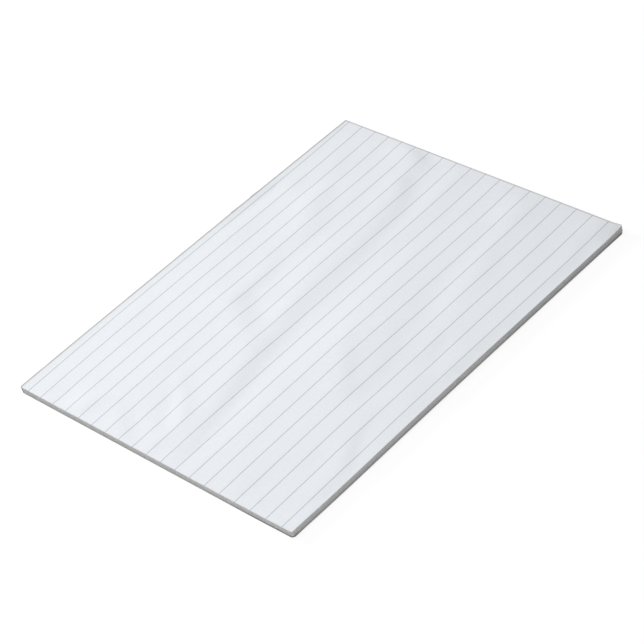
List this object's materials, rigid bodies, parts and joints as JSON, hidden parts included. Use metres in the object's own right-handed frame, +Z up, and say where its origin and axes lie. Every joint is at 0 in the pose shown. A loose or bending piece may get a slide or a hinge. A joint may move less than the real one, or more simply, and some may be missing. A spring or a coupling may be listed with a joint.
{
  "type": "notepad",
  "caption": "Glued writing pad of ruled loose-edge sheets on a stiff backing board, lying flat, with its ruling parallel to the glued long edge.",
  "frame": {"origin": "middle of the underside of the backing board's box, on the surface the pad lies on", "axes": "+X along the ruled lines and the long edges, +Y towards the glued long edge, +Z up out of the ruled side"},
  "size_m": [0.2794, 0.2172, 0.0048],
  "materials": {
    "sheets": "matte",
    "board": "matte",
    "gum": "satin"
  },
  "bodies": {
    "root": {"page_block": "sheets", "backing_board": "board", "gum_binding": "gum"}
  },
  "joints": []
}
